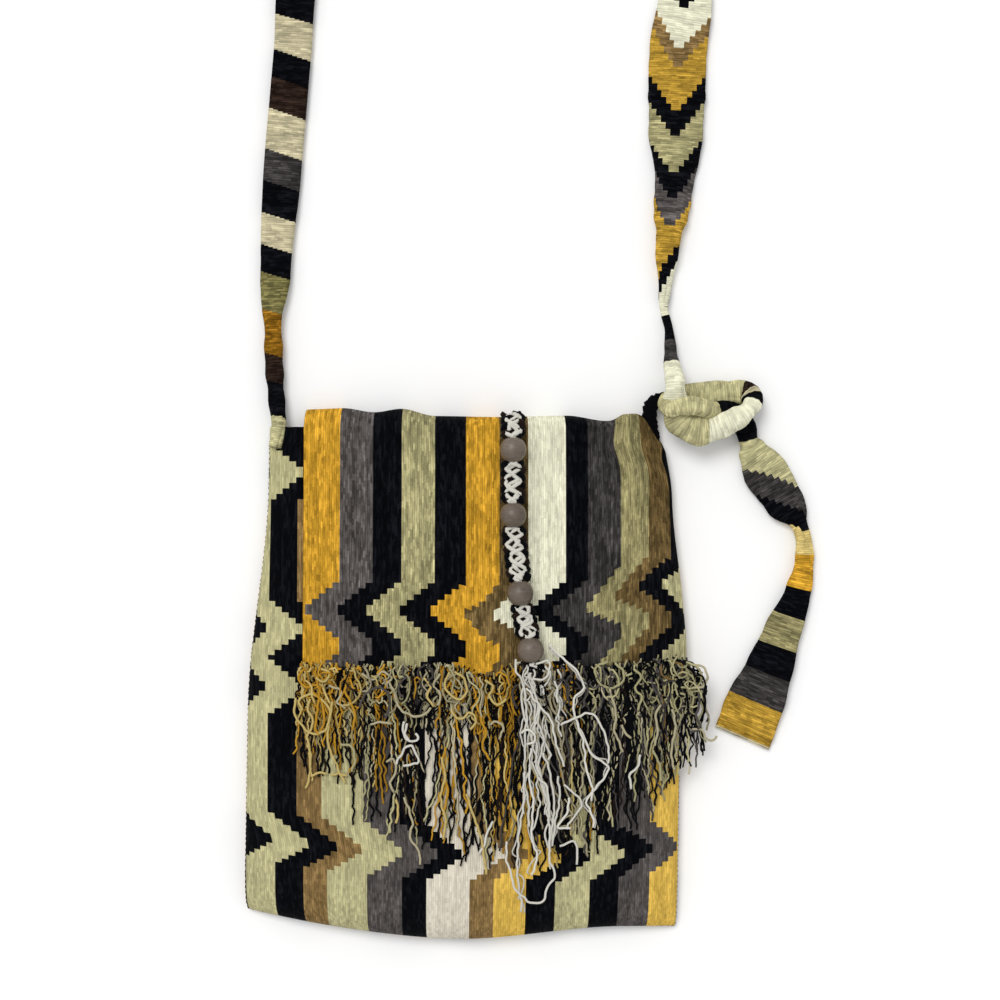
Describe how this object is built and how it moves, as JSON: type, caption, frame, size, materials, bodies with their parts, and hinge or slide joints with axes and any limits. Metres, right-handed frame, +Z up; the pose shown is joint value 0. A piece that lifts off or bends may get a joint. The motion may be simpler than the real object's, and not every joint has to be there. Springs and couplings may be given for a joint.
{
  "type": "woven shoulder bag",
  "caption": "Hand-woven striped shoulder bag lying on its back, with a fringed flap, a beaded tassel ornament and a long strap knotted at one corner.",
  "frame": {"origin": "middle of the back panel, on the surface that the bag lies on", "axes": "+X across the bag to the knotted side, +Y from the bottom edge towards the strap, +Z up out of the front"},
  "size_m": [0.3298, 0.7047, 0.0476],
  "materials": {
    "front_cloth": "hand-woven stripes, matt",
    "flap_cloth": "hand-woven stripes, matt",
    "strap_band": "woven band with chevrons, matt",
    "black_yarn": "matt yarn",
    "braid_yarn": "black and white flat braid",
    "cream_yarn": "matt yarn",
    "ochre_yarn": "matt yarn",
    "sage_yarn": "matt yarn",
    "brown_yarn": "matt yarn",
    "grey_yarn": "matt yarn",
    "bead_seed": "polished seed bead, satin"
  },
  "bodies": {
    "root": {"front_panel": "front_cloth", "back_panel_with_flap": "flap_cloth", "seam_thread": "black_yarn", "strap": "strap_band", "corner_loop": "black_yarn", "ornament_braid": "braid_yarn", "ornament_tassel": "cream_yarn", "fringe_bunch_1": "ochre_yarn", "fringe_bunch_2": "ochre_yarn", "fringe_bunch_3": "sage_yarn", "fringe_bunch_4": "black_yarn", "fringe_bunch_5": "black_yarn", "fringe_bunch_6": "ochre_yarn", "fringe_bunch_7": "brown_yarn", "fringe_bunch_8": "black_yarn", "fringe_bunch_9": "black_yarn", "fringe_bunch_10": "sage_yarn", "fringe_bunch_11": "grey_yarn", "fringe_bunch_12": "sage_yarn", "ornament_bead_1": "bead_seed", "ornament_bead_2": "bead_seed", "ornament_bead_3": "bead_seed", "ornament_bead_4": "bead_seed"}
  },
  "joints": []
}
